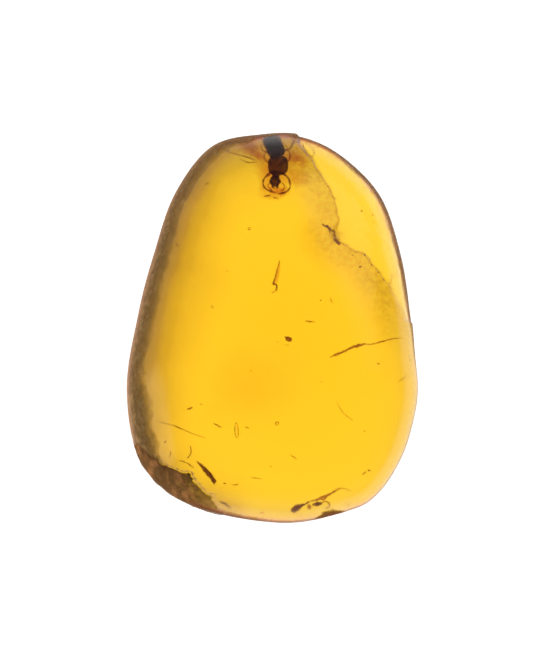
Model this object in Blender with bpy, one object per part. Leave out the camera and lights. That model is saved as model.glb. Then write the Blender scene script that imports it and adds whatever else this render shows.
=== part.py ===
"""A polished nugget of amber with a small beetle and scraps of plant sealed in it.

The stone lies on its ground base at z = 0, its long axis along Y and its plan centre on the Z axis. It is one
natural piece, parted in two at its girdle, because a sealed hollow needs an opening: the two halves close round
the pockets in which the beetle and the scraps lie, all on the one level where the resin caught them.
Run with: blender --background --python part.py
"""

import math

import bmesh
import bpy
import numpy as np
from mathutils import Matrix, Vector

MM = 0.001

# ---------------------------------------------------------------- driving dimensions, in millimetres

# Plan outline of the stone at its girdle, counter-clockwise from the right: narrow end at +Y, broad end at -Y.
OUTLINE = [
    (8.98, -4.0), (8.8, -1.7), (8.55, 0.9), (8.0, 4.5), (6.75, 8.2), (4.45, 10.65), (2.0, 11.85), (-0.7, 11.9),
    (-3.75, 11.15), (-6.0, 8.28), (-7.3, 4.6), (-8.27, 0.9), (-9.0, -3.9), (-8.1, -8.35), (-5.0, -11.0),
    (0.6, -12.1), (4.85, -11.3), (6.6, -10.2), (7.9, -8.2), (8.6, -6.2),
]
GIRDLE_HEIGHT = 3.9  # the widest level, over the base
TOP_RISE = 4.6  # from the girdle to the summit
BOTTOM_DROP = 4.15  # from the girdle down, before the base is ground flat at z = 0
TOP_POWER = 2.5  # 2 is an ellipse, more is flatter on top with a rounder shoulder
BOTTOM_POWER = 3.8  # a nearly flat underside with a round flank
SUMMIT_SHIFT = (0.9, -1.0)  # the summit lies this far from the middle
BASE_SHIFT = (0.6, -0.3)  # and the base this far
SKIN_DIVISIONS = 18  # along each edge of the cube that is drawn out to the stone
PART_GAP = 0.3  # between the halves, at the girdle

# Shallow worn dents in the polish: place in plan, side (1 top, -1 bottom), reach and depth.
DENTS = [
    ((-4.6, 3.2), 1, 2.6, 0.14),
    ((-1.4, -6.4), 1, 3.2, 0.12),
    ((4.9, -5.6), 1, 2.4, 0.13),
    ((0.6, 5.4), 1, 1.9, 0.08),
    ((-5.2, -3.4), -1, 2.8, 0.22),
    ((4.8, 5.2), -1, 2.4, 0.2),
]

# Scars in the upper flank, where something came off the stone. The ledge is the edge of the scar, from outside the
# stone to outside it again, and far holds corners well outside, on the scar's side.
SCARS = {
    "flake_scar": {
        "ledge": [
            (1.5, 13.0), (1.7, 11.2), (2.6, 10.1), (3.3, 8.9), (3.9, 7.8), (4.1, 6.5), (3.7, 5.7), (4.5, 5.1),
            (5.7, 4.5), (6.6, 3.4), (7.4, 2.2), (8.2, 0.5), (9.9, -0.3),
        ],
        "far": [(14.0, -0.3), (14.0, 14.0), (1.5, 14.0)],
        "centre": (5.6, 6.0),
        "reach": (5.5, 9.0),
        "depth": 0.4,
        "fades": (1.6, 3.6),
    },
    "crust_scar": {
        "ledge": [
            (-9.8, -6.6), (-8.2, -7.3), (-6.9, -8.3), (-6.3, -8.7), (-5.7, -8.8), (-5.0, -9.1), (-4.4, -9.9),
            (-3.8, -10.3), (-3.2, -11.1), (-2.9, -12.8),
        ],
        "far": [(-2.9, -14.0), (-13.0, -14.0), (-13.0, -6.6)],
        "centre": (-5.8, -9.0),
        "reach": (3.0, 3.0),
        "depth": 0.24,
        "fades": (4.3, 5.6),
    },
}
SCAR_LIFT = 0.06  # below the levels between which a scar fades out, its bed stands this far clear of the skin
SLAB_OVERLAP = 0.4

# A small chip in the rim of the broad end.
CHIP_CENTRE = (3.75, -12.2, 4.7)
CHIP_HALF_SIZE = (1.1, 0.75, 1.3)

# The beetle: head towards -Y, back up. Its pocket is a round hollow, larger by the clearance.
BEETLE_PLACE = (0.15, 9.55, 3.9)
BEETLE_POCKET_HALF_SIZE = (1.5, 2.05, 0.95)
BEETLE_POCKET_OFFSET = (0.05, -0.12, 0.0)
POCKET_POWER = 2.6
REAR_LEAN = math.radians(27)  # the elytra lean to the left of the head and thorax
ELYTRON_HALF_SIZE = (0.31, 0.7, 0.38)
ELYTRON_POWER = 3.3  # 2 is an ellipse, more is squarer
ELYTRON_OFFSET = 0.2  # each side of the rear's own middle line
ELYTRA_CENTRE = (0.44, 0.92, 0.06)
ELYTRON_SPLAY = math.radians(1.5)
ABDOMEN_HALF_SIZE = (0.42, 0.6, 0.34)
ABDOMEN_CENTRE = (0.44, 0.88, -0.12)
PRONOTUM_HALF_SIZE = (0.58, 0.55, 0.37)
PRONOTUM_POWER = 2.9
PRONOTUM_CENTRE = (0.22, -0.1, 0.0)
NECK_HALF_SIZE = (0.22, 0.26, 0.2)
NECK_CENTRE = (0.09, -0.66, -0.03)
HEAD_HALF_SIZE = (0.31, 0.33, 0.26)
HEAD_CENTRE = (0.05, -0.98, -0.05)
EYE_HALF_SIZE = (0.1, 0.11, 0.12)
EYE_CENTRE = (0.26, -1.01, 0.03)
MANDIBLE_HALF_SIZE = (0.08, 0.15, 0.06)
MANDIBLE_CENTRE = (0.08, -1.28, -0.1)
# Each limb runs from its root to its tip, with the thickness at each point. The forelegs reach round the head.
LIMBS = {
    "right_foreleg": [
        (0.3, -0.5, -0.22), (0.78, -0.8, -0.24), (0.93, -1.3, -0.26), (0.72, -1.62, -0.28), (0.3, -1.74, -0.3),
    ],
    "left_foreleg": [
        (-0.1, -0.5, -0.22), (-0.56, -0.82, -0.24), (-0.68, -1.2, -0.26), (-0.46, -1.5, -0.28), (0.04, -1.66, -0.3),
    ],
    "right_middle_leg": [
        (0.5, 0.0, -0.25), (0.86, 0.16, -0.3), (0.88, 0.46, -0.34), (0.76, 0.74, -0.36), (0.64, 0.92, -0.38),
    ],
    "left_middle_leg": [
        (-0.15, -0.02, -0.25), (-0.5, 0.12, -0.28), (-0.62, 0.28, -0.34), (-0.56, 0.42, -0.4), (-0.46, 0.52, -0.42),
    ],
    "right_hind_leg": [
        (0.35, 0.6, -0.28), (0.84, 0.72, -0.34), (1.0, 0.92, -0.36), (1.06, 1.16, -0.36), (1.02, 1.36, -0.36),
    ],
    "left_hind_leg": [
        (-0.2, 0.55, -0.28), (-0.6, 0.62, -0.32), (-0.76, 0.76, -0.36), (-0.72, 0.92, -0.4), (-0.64, 1.02, -0.42),
    ],
    "right_antenna": [
        (0.24, -1.06, 0.04), (0.5, -1.12, 0.06), (0.6, -1.3, 0.05), (0.52, -1.47, 0.02), (0.42, -1.56, 0.0),
    ],
    "left_antenna": [
        (-0.12, -1.06, 0.04), (-0.34, -1.14, 0.06), (-0.38, -1.29, 0.05), (-0.26, -1.42, 0.02), (-0.14, -1.49, 0.0),
    ],
}
LEG_RADII = (0.09, 0.08, 0.065, 0.05, 0.035)
ANTENNA_RADII = (0.045, 0.04, 0.045, 0.07, 0.06)
ROUND_SEGMENTS = 20
SMALL_ROUND_SEGMENTS = 12

# Plant scraps, each a tapered run of points with its thickness, and the half size of the pocket along it.
SCRAPS = {
    "wood_splinter": {
        "points": [(-4.35, -7.98, 3.95), (-3.85, -8.5, 3.92), (-3.34, -9.02, 3.85)],
        "radii": (0.07, 0.14, 0.16),
        "pocket": (0.55, 1.35, 0.5),
    },
    "plant_strand": {
        "points": [
            (3.4, -1.83, 3.85), (4.2, -1.45, 3.92), (4.95, -1.2, 3.95), (5.55, -1.05, 3.9), (6.3, -0.88, 3.88),
            (7.1, -0.75, 3.85),
        ],
        "radii": (0.06, 0.1, 0.14, 0.07, 0.06, 0.04),
        "pocket": (0.55, 2.3, 0.48),
    },
    "bark_scrap": {
        "points": [(1.2, -10.5, 3.95), (1.8, -10.36, 3.9), (2.5, -10.14, 3.92), (3.2, -9.8, 3.88), (3.95, -9.36, 3.9)],
        "radii": (0.14, 0.08, 0.12, 0.14, 0.05),
        "pocket": (0.58, 1.98, 0.5),
    },
    "shed_skin": {
        "points": [(0.46, 3.9, 3.9), (0.26, 3.2, 3.92), (0.1, 2.6, 3.9), (0.3, 2.4, 3.88), (0.02, 2.05, 3.88)],
        "radii": (0.05, 0.12, 0.1, 0.06, 0.04),
        "pocket": (0.5, 1.4, 0.48),
    },
    "seed_husk": {
        "points": [(0.8, -0.62, 3.92), (1.0, -0.75, 3.9), (1.2, -0.86, 3.88)],
        "radii": (0.08, 0.15, 0.09),
        "pocket": (0.5, 0.62, 0.48),
    },
}
POCKET_SEGMENTS = 16

# Colours (linear) and roughness.
AMBER = ((0.95, 0.52, 0.05), 0.08)
CHITIN = ((0.03, 0.015, 0.008), 0.35)
PLANT = ((0.12, 0.045, 0.012), 0.7)


# ---------------------------------------------------------------- helpers


def clear_scene():
    for obj in list(bpy.data.objects):
        bpy.data.objects.remove(obj)


def new_collection(name, hidden=False):
    collection = bpy.data.collections.new(name)
    collection.hide_render = hidden
    bpy.context.scene.collection.children.link(collection)
    return collection


def move_to(obj, collection):
    for old in list(obj.users_collection):
        old.objects.unlink(obj)
    collection.objects.link(obj)


def make_cutter(obj, collection):
    """A helper shape, which is no piece of the object."""
    move_to(obj, collection)
    obj.hide_render = True
    obj.display_type = "WIRE"
    return obj


def make_material(name, finish):
    colour, roughness = finish
    material = bpy.data.materials.new(name)
    material.use_nodes = True
    shader = material.node_tree.nodes["Principled BSDF"]
    shader.inputs["Base Color"].default_value = (*colour, 1)
    shader.inputs["Roughness"].default_value = roughness
    shader.inputs["Metallic"].default_value = 0
    return material


def add_boolean(obj, operation, other):
    modifier = obj.modifiers.new(operation.lower(), "BOOLEAN")
    modifier.operation = operation
    if isinstance(other, bpy.types.Collection):
        modifier.operand_type = "COLLECTION"
        modifier.collection = other
    else:
        modifier.object = other


def smooth_step(value, low, high):
    share = min(max((value - low) / (high - low), 0.0), 1.0)
    return share * share * (3 - 2 * share)


def round_shape(name, half_size, place, power=2.0, segments=ROUND_SEGMENTS, turn=0.0):
    """A sphere primitive drawn out to half_size. A power over 2 makes it fuller at its corners."""
    bpy.ops.mesh.primitive_uv_sphere_add(segments=segments, ring_count=segments // 2, radius=1)
    obj = bpy.context.object
    obj.name = name
    turned = Matrix.Rotation(turn, 3, "Z")
    for vertex in obj.data.vertices:
        reach = sum(abs(c) ** power for c in vertex.co) ** (-1 / power)
        vertex.co = turned @ Vector([c * reach * half * MM for c, half in zip(vertex.co, half_size)])
    obj.data.shade_smooth()
    obj.location = Vector(place) * MM
    return obj


def smooth_run(points, per_span, closed=False):
    """Points along a Catmull-Rom curve through the given ones."""
    count = len(points)
    spans = count if closed else count - 1
    run = []
    for i in range(spans):
        near = [points[(i + k) % count] if closed else points[min(max(i + k, 0), count - 1)] for k in (-1, 0, 1, 2)]
        before, start, end, after = (np.array(p, float) for p in near)
        for t in np.arange(per_span) / per_span:
            run.append(
                start
                + 0.5 * t * (end - before)
                + t**2 * (before - 2.5 * start + 2 * end - 0.5 * after)
                + t**3 * (1.5 * start - 0.5 * before - 1.5 * end + 0.5 * after)
            )
    if not closed:
        run.append(np.array(points[-1], float))
    return run


def tapered_tube(name, points, radii, per_span=2, sides=1):
    """A curve with a round section, whose thickness follows radii. Points and radii are in millimetres."""
    data = bpy.data.curves.new(name, "CURVE")
    data.dimensions = "3D"
    data.bevel_depth = MM
    data.bevel_resolution = sides
    data.use_fill_caps = True
    run = smooth_run([(*p, r) for p, r in zip(points, radii)], per_span)
    spline = data.splines.new("POLY")
    spline.points.add(len(run) - 1)
    for point, (x, y, z, radius) in zip(spline.points, run):
        point.co = (x * MM, y * MM, z * MM, 1)
        point.radius = radius
    obj = bpy.data.objects.new(name, data)
    bpy.context.scene.collection.objects.link(obj)
    return obj


def as_mesh(obj):
    """The same shape as a mesh with its caps welded. The curve is removed."""
    bpy.context.view_layer.update()
    evaluated = obj.evaluated_get(bpy.context.evaluated_depsgraph_get())
    mesh = bpy.data.meshes.new_from_object(evaluated)
    name, world = obj.name, obj.matrix_world.copy()
    bpy.data.objects.remove(obj)
    work = bmesh.new()
    work.from_mesh(mesh)
    bmesh.ops.remove_doubles(work, verts=work.verts, dist=1e-7)
    bmesh.ops.recalc_face_normals(work, faces=work.faces)
    work.to_mesh(mesh)
    work.free()
    made = bpy.data.objects.new(name, mesh)
    made.matrix_world = world
    bpy.context.scene.collection.objects.link(made)
    return made


# ---------------------------------------------------------------- the stone


def outline_radius():
    """A function that gives the girdle's radius in a plan direction, in millimetres."""
    run = np.array(smooth_run(OUTLINE, 24, closed=True))
    angles = np.arctan2(run[:, 1], run[:, 0])
    radii = np.hypot(run[:, 0], run[:, 1])
    order = np.argsort(angles)
    return lambda angle: np.interp(angle, angles[order], radii[order], period=2 * math.pi)


def dent_depth(x, y, side):
    """How far the worn dents lower the polish at a place in plan."""
    total = 0.0
    for centre, dent_side, reach, depth in DENTS:
        if dent_side == side:
            away = math.hypot(x - centre[0], y - centre[1]) / reach
            total += depth * math.exp(-(away**2))
    return total


def scar_depth(scar, point):
    """How far a scar's bed lies under the polished skin. It is negative where the bed stands clear of it."""
    across, along = ((point[i] - scar["centre"][i]) / scar["reach"][i] for i in (0, 1))
    share = smooth_step(point.z, *scar["fades"])
    return share * scar["depth"] * math.exp(-(across**2 + along**2)) - (1 - share) * SCAR_LIFT


def skin_point(direction, radius_at, scar):
    """The point of the stone's skin that lies in a direction from its middle, in millimetres."""
    side = 1 if direction.z >= 0 else -1
    rise, power = (TOP_RISE, TOP_POWER) if side > 0 else (BOTTOM_DROP, BOTTOM_POWER)
    across = math.hypot(direction.x, direction.y)
    reach = (across**power + abs(direction.z) ** power) ** (-1 / power)
    radius = radius_at(math.atan2(direction.y, direction.x))
    level = reach * direction.z
    shift = SUMMIT_SHIFT if side > 0 else BASE_SHIFT
    x = reach * direction.x * radius + shift[0] * level**2
    y = reach * direction.y * radius + shift[1] * level**2
    z = GIRDLE_HEIGHT + level * rise - level * dent_depth(x, y, side)
    point = Vector((x, y, z))
    if scar:
        point -= scar_depth(scar, point) * Vector((direction.x, direction.y, max(direction.z, 0.0)))
    return point


def stone_skin(name, scar=None):
    """The whole stone before it is ground flat: a finely divided cube drawn out to the outline and two crowns."""
    mesh = bpy.data.meshes.new(name)
    work = bmesh.new()
    bmesh.ops.create_cube(work, size=2)
    bmesh.ops.subdivide_edges(work, edges=work.edges, cuts=SKIN_DIVISIONS - 1, use_grid_fill=True)
    radius_at = outline_radius()
    for vertex in work.verts:
        even = Vector([math.tan(c * math.pi / 4) for c in vertex.co])
        vertex.co = skin_point(even.normalized(), radius_at, scar) * MM
    bmesh.ops.recalc_face_normals(work, faces=work.faces)
    work.to_mesh(mesh)
    work.free()
    mesh.shade_smooth()
    obj = bpy.data.objects.new(name, mesh)
    bpy.context.scene.collection.objects.link(obj)
    return obj


def lost_piece(name, scar, cutters):
    """What came off the stone at a scar: all that lies over the scar's bed, on the far side of its ledge."""
    data = bpy.data.curves.new(name, "CURVE")
    data.dimensions = "2D"
    data.fill_mode = "BOTH"
    low, high = scar["fades"][0] - SLAB_OVERLAP, GIRDLE_HEIGHT + TOP_RISE + SLAB_OVERLAP
    data.extrude = (high - low) / 2 * MM
    corners = scar["ledge"] + scar["far"]
    spline = data.splines.new("POLY")
    spline.points.add(len(corners) - 1)
    spline.use_cyclic_u = True
    for point, (x, y) in zip(spline.points, corners):
        point.co = (x * MM, y * MM, 0, 1)
    slab = bpy.data.objects.new(name, data)
    bpy.context.scene.collection.objects.link(slab)
    slab.location.z = (low + high) / 2 * MM
    slab = make_cutter(as_mesh(slab), cutters)
    add_boolean(slab, "DIFFERENCE", make_cutter(stone_skin(name + "_bed", scar), cutters))
    return slab


def block(name, low_z, high_z, cutters):
    """A box far wider than the stone, between two levels, in millimetres."""
    bpy.ops.mesh.primitive_cube_add(size=1, location=(0, 0, (low_z + high_z) / 2 * MM))
    obj = bpy.context.object
    obj.name = name
    for vertex in obj.data.vertices:
        vertex.co *= 40 * MM
        vertex.co.z *= (high_z - low_z) / 40
    return make_cutter(obj, cutters)


def stone_half(name, other_half, shaping, pockets, material, parts, cutters):
    """One half of the stone: the skin, less the lost pieces, the ground base, the other half and the pockets."""
    obj = stone_skin(name)
    for cutter in (*shaping, block(name + "_parting", *other_half, cutters), pockets):
        add_boolean(obj, "DIFFERENCE", cutter)
    obj.data.materials.append(material)
    move_to(obj, parts)


# ---------------------------------------------------------------- the beetle


def leaned(place):
    """Turns a point of the beetle's rear half with the lean of its elytra."""
    turned = Matrix.Rotation(REAR_LEAN, 3, "Z") @ Vector((place[0], place[1], 0))
    return (turned.x, turned.y, place[2])


def beetle_pieces():
    """Every solid of the beetle's body, overlapping, in its own frame."""
    pieces = [
        round_shape("abdomen", ABDOMEN_HALF_SIZE, leaned(ABDOMEN_CENTRE), turn=REAR_LEAN),
        round_shape("pronotum", PRONOTUM_HALF_SIZE, PRONOTUM_CENTRE, PRONOTUM_POWER),
        round_shape("neck", NECK_HALF_SIZE, NECK_CENTRE, segments=SMALL_ROUND_SEGMENTS),
        round_shape("head", HEAD_HALF_SIZE, HEAD_CENTRE, segments=SMALL_ROUND_SEGMENTS),
    ]
    for side in (-1, 1):
        x, y, z = ELYTRA_CENTRE
        place = leaned((x + side * ELYTRON_OFFSET, y, z))
        turn = REAR_LEAN - side * ELYTRON_SPLAY
        pieces.append(round_shape("elytron", ELYTRON_HALF_SIZE, place, ELYTRON_POWER, turn=turn))
        for centre, half_size in ((EYE_CENTRE, EYE_HALF_SIZE), (MANDIBLE_CENTRE, MANDIBLE_HALF_SIZE)):
            place = (HEAD_CENTRE[0] + side * centre[0], *centre[1:])
            pieces.append(round_shape("head_part", half_size, place, segments=SMALL_ROUND_SEGMENTS))
    for limb, points in LIMBS.items():
        radii = ANTENNA_RADII if "antenna" in limb else LEG_RADII
        pieces.append(as_mesh(tapered_tube(limb, points, radii)))
    return pieces


def beetle(material, parts, cutters):
    """The beetle as one solid, in place, and the pocket that it lies in."""
    body, *others = beetle_pieces()
    members = new_collection("beetle_members", hidden=True)
    for piece in others:
        make_cutter(piece, members)
    body.name = "beetle"
    add_boolean(body, "UNION", members)
    body.data.materials.append(material)
    move_to(body, parts)
    stand = bpy.data.objects.new("beetle_place", None)
    parts.objects.link(stand)
    stand.location = Vector(BEETLE_PLACE) * MM
    for piece in (body, *others):
        piece.parent = stand
    place = Vector(BEETLE_PLACE) + Vector(BEETLE_POCKET_OFFSET)
    pocket = round_shape("beetle_pocket", BEETLE_POCKET_HALF_SIZE, place, POCKET_POWER, POCKET_SEGMENTS)
    make_cutter(pocket, cutters)


# ---------------------------------------------------------------- the plant scraps


def scrap(name, shape, material, parts, pockets):
    """One thin scrap, and a long round pocket along it."""
    points = shape["points"]
    obj = tapered_tube(name, points, shape["radii"], sides=2)
    obj.data.materials.append(material)
    move_to(obj, parts)
    first, last = Vector(points[0]), Vector(points[-1])
    run = last - first
    turn = math.atan2(run.y, run.x) - math.pi / 2
    middle = (first + last) / 2
    pocket = round_shape(name + "_pocket", shape["pocket"], middle, POCKET_POWER, POCKET_SEGMENTS, turn)
    make_cutter(pocket, pockets)


def build():
    clear_scene()
    bpy.context.scene.unit_settings.system = "METRIC"
    parts = new_collection("insect_in_amber")
    cutters = new_collection("cutters", hidden=True)
    pockets = new_collection("pockets", hidden=True)
    amber = make_material("amber", AMBER)
    chitin = make_material("chitin", CHITIN)
    plant = make_material("plant", PLANT)
    beetle(chitin, parts, pockets)
    for name, shape in SCRAPS.items():
        scrap(name, shape, plant, parts, pockets)
    shaping = [lost_piece(name, scar, cutters) for name, scar in SCARS.items()]
    shaping.append(make_cutter(round_shape("chip", CHIP_HALF_SIZE, CHIP_CENTRE), cutters))
    shaping.append(block("ground_off", -10, 0, cutters))
    seam_low = GIRDLE_HEIGHT - PART_GAP / 2
    seam_high = GIRDLE_HEIGHT + PART_GAP / 2
    stone_half("amber_lower", (seam_low, 30), shaping, pockets, amber, parts, cutters)
    stone_half("amber_upper", (-20, seam_high), shaping, pockets, amber, parts, cutters)


build()
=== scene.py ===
"""A polished nugget of amber with a small beetle and scraps of plant sealed in it."""

import math

import bmesh
import bpy
import numpy as np
from mathutils import Matrix, Vector, noise


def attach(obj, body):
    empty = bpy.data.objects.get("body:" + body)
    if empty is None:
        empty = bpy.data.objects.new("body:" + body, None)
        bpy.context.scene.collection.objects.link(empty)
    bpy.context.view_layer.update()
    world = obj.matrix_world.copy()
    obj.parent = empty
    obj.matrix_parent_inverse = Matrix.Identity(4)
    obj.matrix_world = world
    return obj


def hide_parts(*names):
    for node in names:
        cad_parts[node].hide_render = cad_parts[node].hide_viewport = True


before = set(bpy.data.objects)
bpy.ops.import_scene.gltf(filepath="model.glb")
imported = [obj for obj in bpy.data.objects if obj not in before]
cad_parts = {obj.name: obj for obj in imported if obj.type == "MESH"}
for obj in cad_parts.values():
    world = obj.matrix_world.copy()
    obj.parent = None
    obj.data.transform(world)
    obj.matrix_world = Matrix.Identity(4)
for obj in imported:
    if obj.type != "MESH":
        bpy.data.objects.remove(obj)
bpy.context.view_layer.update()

# ------------------------------------------------------------------------------------------------------------------
# The table and the light. The stone lies on a pale table that glows softly from below, as a light box does. The sky
# over it is bright near the horizon, brightest on the left, and dim overhead, where the lens hangs. Two soft panels
# stand in it, one low on the left and one high behind on the right. The lens looks straight down.

TABLE_DROP = 0.00005  # a film of air under the ground base
TABLE_SIZE = 1.6
TABLE_COLOUR = (0.86, 0.86, 0.855, 1)
TABLE_GLOW = 1.02
GLOW_FADES = (0.028, 0.09)  # how far from the stone the glow begins to fade, and where it has sunk to its far share
GLOW_FAR_SHARE = 0.5
SKY_LOW = (0.8, 0.78, 0.74, 1)
SKY_HIGH = (0.16, 0.16, 0.17, 1)
SKY_STRENGTH = 0.85
RIGHT_SIDE_SHARE = 0.35  # how bright the low sky is on the right, against the left
# Each panel: the way to it, the cosines at its soft edge and at its full strength, and its brightness.
PANELS = [
    ((-0.9, -0.28, 0.33), (0.9, 0.97), 1.3),
    ((0.5, 0.5, 0.71), (0.86, 0.95), 0.7),
]
LENS_HEIGHT = 0.42
LENS_OFFSET = (0.00012, 0.00012)  # the stone lies a little off the middle of the picture
PICTURE_HEIGHT = 0.0402  # what the picture's long side covers at the stone's girdle
GIRDLE_HEIGHT = 3.9  # millimetres over the base


def add_node(tree, kind, feeds=None, **settings):
    """A node of the kind, with its settings, whose sockets are fed from other sockets or hold plain values."""
    made = tree.nodes.new("ShaderNode" + kind)
    for name, value in settings.items():
        setattr(made, name, value)
    for socket, value in (feeds or {}).items():
        if isinstance(value, bpy.types.NodeSocket):
            tree.links.new(value, made.inputs[socket])
        else:
            made.inputs[socket].default_value = value
    return made


def add_math(tree, operation, *values):
    return add_node(tree, "Math", dict(enumerate(values)), operation=operation).outputs[0]


def add_ramp(tree, value, low, high, to_low=0.0, to_high=1.0):
    """A smooth step of the value, from to_low at low up to to_high at high."""
    feeds = {"Value": value, "From Min": low, "From Max": high, "To Min": to_low, "To Max": to_high}
    return add_node(tree, "MapRange", feeds, interpolation_type="SMOOTHSTEP").outputs["Result"]


def add_mix(tree, share, first, second, blend_type="MIX"):
    feeds = {"Factor": share, "A": first, "B": second}
    made = add_node(tree, "Mix", None, data_type="RGBA", blend_type=blend_type)
    for name, value in feeds.items():
        socket = next(s for s in made.inputs if s.name == name and s.enabled)
        if isinstance(value, bpy.types.NodeSocket):
            tree.links.new(value, socket)
        else:
            socket.default_value = value
    return next(s for s in made.outputs if s.enabled)


table_mesh = bpy.data.meshes.new("table")
work = bmesh.new()
bmesh.ops.create_grid(work, x_segments=8, y_segments=8, size=TABLE_SIZE / 2)
work.to_mesh(table_mesh)
work.free()
table = bpy.data.objects.new("table", table_mesh)
table.location.z = -TABLE_DROP
bpy.context.scene.collection.objects.link(table)
table_finish = bpy.data.materials.new("pale_table")
table_finish.use_nodes = True
tree = table_finish.node_tree
shader = tree.nodes["Principled BSDF"]
shader.inputs["Base Color"].default_value = TABLE_COLOUR
shader.inputs["Roughness"].default_value = 0.6
from_stone = add_node(tree, "VectorMath", {0: add_node(tree, "TexCoord").outputs["Object"]}, operation="LENGTH")
fading = add_ramp(tree, from_stone.outputs["Value"], *GLOW_FADES, 1.0, GLOW_FAR_SHARE)
tree.links.new(add_mix(tree, fading, (0, 0, 0, 1), (1, 1, 1, 1)), shader.inputs["Emission Color"])
shader.inputs["Emission Strength"].default_value = TABLE_GLOW
table_mesh.materials.append(table_finish)

sky = bpy.data.worlds.new("studio")
bpy.context.scene.world = sky
sky.use_nodes = True
tree = sky.node_tree
way = add_node(tree, "TexCoord").outputs["Generated"]
split = add_node(tree, "SeparateXYZ", {0: way})
side = add_ramp(tree, split.outputs["X"], -0.2, 0.7, 1.0, RIGHT_SIDE_SHARE)
low_sky = add_mix(tree, side, (0, 0, 0, 1), SKY_LOW)
glow = add_mix(tree, add_ramp(tree, split.outputs["Z"], 0.12, 0.55), low_sky, SKY_HIGH)
for direction, (soft_edge, full), brightness in PANELS:
    facing = add_node(tree, "VectorMath", {0: way, 1: Vector(direction).normalized()}, operation="DOT_PRODUCT")
    panel = add_ramp(tree, facing.outputs["Value"], soft_edge, full, 0.0, brightness)
    glow = add_mix(tree, 1.0, glow, add_mix(tree, panel, (0, 0, 0, 1), (1, 1, 1, 1)), "ADD")
background = tree.nodes["Background"]
background.inputs["Strength"].default_value = SKY_STRENGTH
tree.links.new(glow, background.inputs["Color"])

lens = bpy.data.cameras.new("lens")
lens.sensor_width = 36
lens.lens = lens.sensor_width * (LENS_HEIGHT - GIRDLE_HEIGHT / 1000) / PICTURE_HEIGHT
lens.clip_start = 0.01
camera = bpy.data.objects.new("lens", lens)
camera.location = (*LENS_OFFSET, LENS_HEIGHT)
bpy.context.scene.collection.objects.link(camera)
bpy.context.scene.camera = camera
bpy.context.scene.view_settings.view_transform = "Standard"

# ------------------------------------------------------------------------------------------------------------------
# The amber. One pebble of fossil resin, tumbled and polished, with its base ground flat. A flake has sprung off it on
# the upper right, and weathered crust is left on it at the lower left. Its flanks, most on the left, are darkened brown
# with painted shade, standing in for the darker surroundings seen through them.

MM = 0.001
OUTLINE = [
    (8.98, -4.0), (8.8, -1.7), (8.55, 0.9), (8.0, 4.5), (6.75, 8.2), (4.45, 10.65), (2.0, 11.85), (-0.7, 11.9),
    (-3.75, 11.15), (-6.0, 8.28), (-7.3, 4.6), (-8.27, 0.9), (-9.0, -3.9), (-8.1, -8.35), (-5.0, -11.0),
    (0.6, -12.1), (4.85, -11.3), (6.6, -10.2), (7.9, -8.2), (8.6, -6.2),
]
TOP_RISE = 4.6
BOTTOM_DROP = 4.15
TOP_POWER = 2.5
BOTTOM_POWER = 3.8
SUMMIT_SHIFT = (0.9, -1.0)
BASE_SHIFT = (0.6, -0.3)
SKIN_DIVISIONS = 90
DENTS = [
    ((-4.6, 3.2), 1, 2.6, 0.14),
    ((-1.4, -6.4), 1, 3.2, 0.12),
    ((4.9, -5.6), 1, 2.4, 0.13),
    ((0.6, 5.4), 1, 1.9, 0.08),
    ((-5.2, -3.4), -1, 2.8, 0.22),
    ((4.8, 5.2), -1, 2.4, 0.2),
]
FLAKE_SCAR = {
    "ledge": [
        (1.5, 13.0), (1.7, 11.2), (2.6, 10.1), (3.3, 8.9), (3.9, 7.8), (4.1, 6.5), (3.7, 5.7), (4.5, 5.1),
        (5.7, 4.5), (6.6, 3.4), (7.4, 2.2), (8.2, 0.5), (9.9, -0.3),
    ],
    "far": [(14.0, -0.3), (14.0, 14.0), (1.5, 14.0)],
    "centre": (5.6, 6.0),
    "reach": (5.5, 9.0),
    "depth": 0.4,
    "fades": (1.6, 3.6),
    "jags": 0.09,
}
CRUST_SCAR = {
    "ledge": [
        (-9.8, -6.6), (-8.2, -7.3), (-6.9, -8.3), (-6.3, -8.7), (-5.7, -8.8), (-5.0, -9.1), (-4.4, -9.9),
        (-3.8, -10.3), (-3.2, -11.1), (-2.9, -12.8),
    ],
    "far": [(-2.9, -14.0), (-13.0, -14.0), (-13.0, -6.6)],
    "centre": (-5.8, -9.0),
    "reach": (3.0, 3.0),
    "depth": 0.24,
    "fades": (4.3, 5.6),
    "jags": 0.24,
}
LEDGE_WIDTH = 0.12
JAGS_PER_MM = 1.7
RIPPLE_CENTRE = (10.4, 9.6)  # the flake sprang off from here, and its ripples spread round it
RIPPLE_SPACING = 0.62
RIPPLE_DEPTH = 0.008
CHIP_CENTRE = (3.75, -12.2, 4.7)
CHIP_HALF_SIZE = (1.1, 0.75, 1.3)
# Painted shade on the flanks, round the girdle: the plan angle in degrees, and the share of its full strength.
FLANK_SHADING = [
    (-180, 1), (-140, 1), (-115, 0.5), (-95, 0.15), (-60, 0.08), (-30, 0.1), (0, 0.15), (30, 0.15), (60, 0.2), (80, 0.4),
    (105, 0.8), (135, 1.08),
]
# Painted shade on the flake's bed beside its ledge, where the ledge shades it, darkest in the ledge's inner corner.
LEDGE_SHADE_REACH = (0.6, 2.6)  # how far the painted shade beside the flake's ledge is full, and where it ends
LEDGE_SHADE_CENTRE = (3.9, 5.6)  # it is darkest in the ledge's inner corner
LEDGE_SHADE_CENTRE_REACH = 0.4
# Bubbles of air: centre, half size and turn about Z in degrees.
BUBBLES = [
    ((-2.16, -6.25, 5.6), (0.13, 0.5, 0.1), 4),
    ((0.32, -5.82, 5.2), (0.13, 0.13, 0.12), 0),
    ((-1.35, 5.9, 5.0), (0.08, 0.08, 0.06), 0),
    ((2.9, 1.6, 5.6), (0.06, 0.06, 0.06), 0),
    ((-3.4, 1.1, 4.4), (0.07, 0.09, 0.06), 30),
    ((5.4, -6.3, 4.8), (0.06, 0.05, 0.05), 0),
]


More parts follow.
